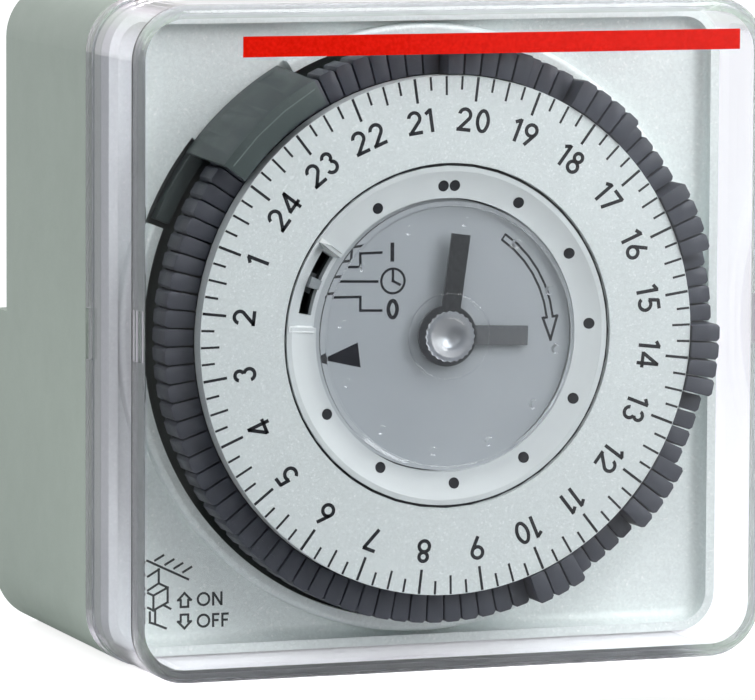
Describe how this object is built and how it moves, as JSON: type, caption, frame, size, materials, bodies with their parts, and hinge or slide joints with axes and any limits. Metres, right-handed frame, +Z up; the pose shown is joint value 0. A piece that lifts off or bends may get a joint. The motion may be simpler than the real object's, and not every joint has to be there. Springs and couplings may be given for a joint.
{
  "type": "24-hour time switch",
  "caption": "Square 24-hour time switch for a panel or wall, with a dial of captive trippers round a small clock, a trip lever, a manual lever and a clear push-on cover.",
  "frame": {"origin": "middle of the bottom of the bounding box", "axes": "X is the width, with +X on the right as seen from the front; the front with the dial faces -Y and the wall side faces +Y; +Z is up"},
  "size_m": [0.072, 0.051, 0.072],
  "materials": {
    "clear_plastic": "clear polished",
    "casing_plastic": "fine grained",
    "plate_plastic": "silver grey, fine sparkle",
    "slate_plastic": "satin",
    "lever_plastic": "satin",
    "dial_plastic": "smooth, printed",
    "ring_plastic": "smooth",
    "face_plastic": "smooth, printed",
    "hand_paint": "satin",
    "natural_plastic": "smooth",
    "knob_plastic": "smooth",
    "black_plastic": "fine grained",
    "steel": "bright",
    "zinc_steel": "zinc plated, thin shell",
    "brass": "plain"
  },
  "bodies": {
    "casing": {"housing": "casing_plastic", "terminal_cover": "casing_plastic", "terminal_cover_screws": "steel", "front_plate": "plate_plastic", "chassis": "natural_plastic", "chassis_screws": "steel", "centre_drum": "natural_plastic", "clock_ring": "ring_plastic", "clock_face": "face_plastic", "mode_retainer": "steel", "wheel_pins": "steel", "trip_lever_pin": "steel", "motor": "zinc_steel", "motor_screws": "steel", "switch_body": "black_plastic", "switch_tabs": "brass", "switch_screws": "steel", "terminal_block": "black_plastic", "block_screws": "steel", "terminal_clamps": "brass", "terminal_screws": "steel", "contact_leads": "brass"},
    "cover": {"clear_cover": "clear_plastic"},
    "dial": {"dial_ring": "dial_plastic", "dial_carrier": "natural_plastic"},
    "body_trippers_00h00": {"trippers_00h00": "slate_plastic"},
    "body_trippers_01h15": {"trippers_01h15": "slate_plastic"},
    "body_trippers_02h30": {"trippers_02h30": "slate_plastic"},
    "body_trippers_03h45": {"trippers_03h45": "slate_plastic"},
    "body_trippers_05h00": {"trippers_05h00": "slate_plastic"},
    "body_trippers_06h15": {"trippers_06h15": "slate_plastic"},
    "body_trippers_07h30": {"trippers_07h30": "slate_plastic"},
    "body_trippers_08h45": {"trippers_08h45": "slate_plastic"},
    "body_trippers_09h45": {"trippers_09h45": "slate_plastic"},
    "body_trippers_10h30": {"trippers_10h30": "slate_plastic"},
    "body_trippers_11h30": {"trippers_11h30": "slate_plastic"},
    "body_trippers_12h30": {"trippers_12h30": "slate_plastic"},
    "body_trippers_13h30": {"trippers_13h30": "slate_plastic"},
    "body_trippers_14h30": {"trippers_14h30": "slate_plastic"},
    "body_trippers_15h30": {"trippers_15h30": "slate_plastic"},
    "body_trippers_16h30": {"trippers_16h30": "slate_plastic"},
    "body_trippers_17h30": {"trippers_17h30": "slate_plastic"},
    "body_trippers_18h30": {"trippers_18h30": "slate_plastic"},
    "body_trippers_19h15": {"trippers_19h15": "slate_plastic"},
    "body_trippers_20h30": {"trippers_20h30": "slate_plastic"},
    "body_trippers_21h45": {"trippers_21h45": "slate_plastic"},
    "body_trippers_22h45": {"trippers_22h45": "slate_plastic"},
    "body_trippers_23h15": {"trippers_23h15": "slate_plastic"},
    "minute_work": {"setting_disc": "clear_plastic", "setting_knob": "clear_plastic", "minute_hand": "hand_paint", "centre_arbor": "steel"},
    "hour_work": {"hour_hand": "hand_paint", "hour_wheel": "natural_plastic"},
    "middle_work": {"middle_wheel": "natural_plastic"},
    "drive_work": {"drive_gear": "natural_plastic"},
    "motor_work": {"motor_pinion": "natural_plastic"},
    "mode_switch": {"mode_lever": "knob_plastic"},
    "trip_work": {"trip_lever": "lever_plastic"},
    "plunger": {"switch_plunger": "natural_plastic"}
  },
  "joints": [
    {"name": "dial_spin", "type": "hinge", "parent": "casing", "child": "dial", "pos_m": [0, 0, 0.036], "axis": [0, 1, 0], "continuous": true},
    {"name": "minute_spin", "type": "hinge", "parent": "casing", "child": "minute_work", "pos_m": [0, 0, 0.036], "axis": [0, 1, 0], "continuous": true},
    {"name": "hour_spin", "type": "hinge", "parent": "casing", "child": "hour_work", "pos_m": [0, 0, 0.036], "axis": [0, 1, 0], "continuous": true},
    {"name": "middle_spin", "type": "hinge", "parent": "casing", "child": "middle_work", "pos_m": [0.00779, 0, 0.0405], "axis": [0, 1, 0], "continuous": true},
    {"name": "drive_spin", "type": "hinge", "parent": "casing", "child": "drive_work", "pos_m": [0.01432, 0, 0.03747], "axis": [0, 1, 0], "continuous": true},
    {"name": "motor_spin", "type": "hinge", "parent": "casing", "child": "motor_work", "pos_m": [0.00923, 0, 0.03238], "axis": [0, 1, 0], "continuous": true},
    {"name": "mode_turn", "type": "hinge", "parent": "casing", "child": "mode_switch", "pos_m": [0, 0, 0.036], "axis": [0, 1, 0], "range_deg": [-7.5, 7.5]},
    {"name": "trip_swing", "type": "hinge", "parent": "casing", "child": "trip_work", "pos_m": [-0.02887, 0, 0.04909], "axis": [0, -1, 0], "range_deg": [0, 3.4]},
    {"name": "plunger_slide", "type": "slide", "parent": "casing", "child": "plunger", "axis": [0, 0, 1], "range_m": [0, 0.00075]},
    {"name": "cover_pull", "type": "slide", "parent": "casing", "child": "cover", "axis": [0, -1, 0], "range_m": [0, 0.02]},
    {"name": "set_00h00", "type": "slide", "parent": "dial", "child": "body_trippers_00h00", "axis": [0, -1, 0], "range_m": [0, 0.0025]},
    {"name": "set_01h15", "type": "slide", "parent": "dial", "child": "body_trippers_01h15", "axis": [0, -1, 0], "range_m": [0, 0.0025]},
    {"name": "set_02h30", "type": "slide", "parent": "dial", "child": "body_trippers_02h30", "axis": [0, -1, 0], "range_m": [0, 0.0025]},
    {"name": "set_03h45", "type": "slide", "parent": "dial", "child": "body_trippers_03h45", "axis": [0, -1, 0], "range_m": [0, 0.0025]},
    {"name": "set_05h00", "type": "slide", "parent": "dial", "child": "body_trippers_05h00", "axis": [0, -1, 0], "range_m": [0, 0.0025]},
    {"name": "set_06h15", "type": "slide", "parent": "dial", "child": "body_trippers_06h15", "axis": [0, -1, 0], "range_m": [0, 0.0025]},
    {"name": "set_07h30", "type": "slide", "parent": "dial", "child": "body_trippers_07h30", "axis": [0, -1, 0], "range_m": [0, 0.0025]},
    {"name": "set_08h45", "type": "slide", "parent": "dial", "child": "body_trippers_08h45", "axis": [0, -1, 0], "range_m": [0, 0.0025]},
    {"name": "set_09h45", "type": "slide", "parent": "dial", "child": "body_trippers_09h45", "axis": [0, -1, 0], "range_m": [-0.0025, 0]},
    {"name": "set_10h30", "type": "slide", "parent": "dial", "child": "body_trippers_10h30", "axis": [0, -1, 0], "range_m": [0, 0.0025]},
    {"name": "set_11h30", "type": "slide", "parent": "dial", "child": "body_trippers_11h30", "axis": [0, -1, 0], "range_m": [-0.0025, 0]},
    {"name": "set_12h30", "type": "slide", "parent": "dial", "child": "body_trippers_12h30", "axis": [0, -1, 0], "range_m": [0, 0.0025]},
    {"name": "set_13h30", "type": "slide", "parent": "dial", "child": "body_trippers_13h30", "axis": [0, -1, 0], "range_m": [-0.0025, 0]},
    {"name": "set_14h30", "type": "slide", "parent": "dial", "child": "body_trippers_14h30", "axis": [0, -1, 0], "range_m": [0, 0.0025]},
    {"name": "set_15h30", "type": "slide", "parent": "dial", "child": "body_trippers_15h30", "axis": [0, -1, 0], "range_m": [-0.0025, 0]},
    {"name": "set_16h30", "type": "slide", "parent": "dial", "child": "body_trippers_16h30", "axis": [0, -1, 0], "range_m": [0, 0.0025]},
    {"name": "set_17h30", "type": "slide", "parent": "dial", "child": "body_trippers_17h30", "axis": [0, -1, 0], "range_m": [-0.0025, 0]},
    {"name": "set_18h30", "type": "slide", "parent": "dial", "child": "body_trippers_18h30", "axis": [0, -1, 0], "range_m": [0, 0.0025]},
    {"name": "set_19h15", "type": "slide", "parent": "dial", "child": "body_trippers_19h15", "axis": [0, -1, 0], "range_m": [-0.0025, 0]},
    {"name": "set_20h30", "type": "slide", "parent": "dial", "child": "body_trippers_20h30", "axis": [0, -1, 0], "range_m": [0, 0.0025]},
    {"name": "set_21h45", "type": "slide", "parent": "dial", "child": "body_trippers_21h45", "axis": [0, -1, 0], "range_m": [0, 0.0025]},
    {"name": "set_22h45", "type": "slide", "parent": "dial", "child": "body_trippers_22h45", "axis": [0, -1, 0], "range_m": [0, 0.0025]},
    {"name": "set_23h15", "type": "slide", "parent": "dial", "child": "body_trippers_23h15", "axis": [0, -1, 0], "range_m": [0, 0.0025]}
  ],
  "couplings": [
    {"joint": "minute_spin", "follows": "dial_spin", "ratio": 24},
    {"joint": "hour_spin", "follows": "dial_spin", "ratio": 2},
    {"joint": "middle_spin", "follows": "dial_spin", "ratio": -8},
    {"joint": "drive_spin", "follows": "dial_spin", "ratio": 4},
    {"joint": "motor_spin", "follows": "dial_spin", "ratio": 36},
    {"joint": "trip_swing", "follows": "set_22h45", "rad_per_m": 23.7},
    {"joint": "plunger_slide", "follows": "set_22h45", "ratio": 0.29438}
  ]
}
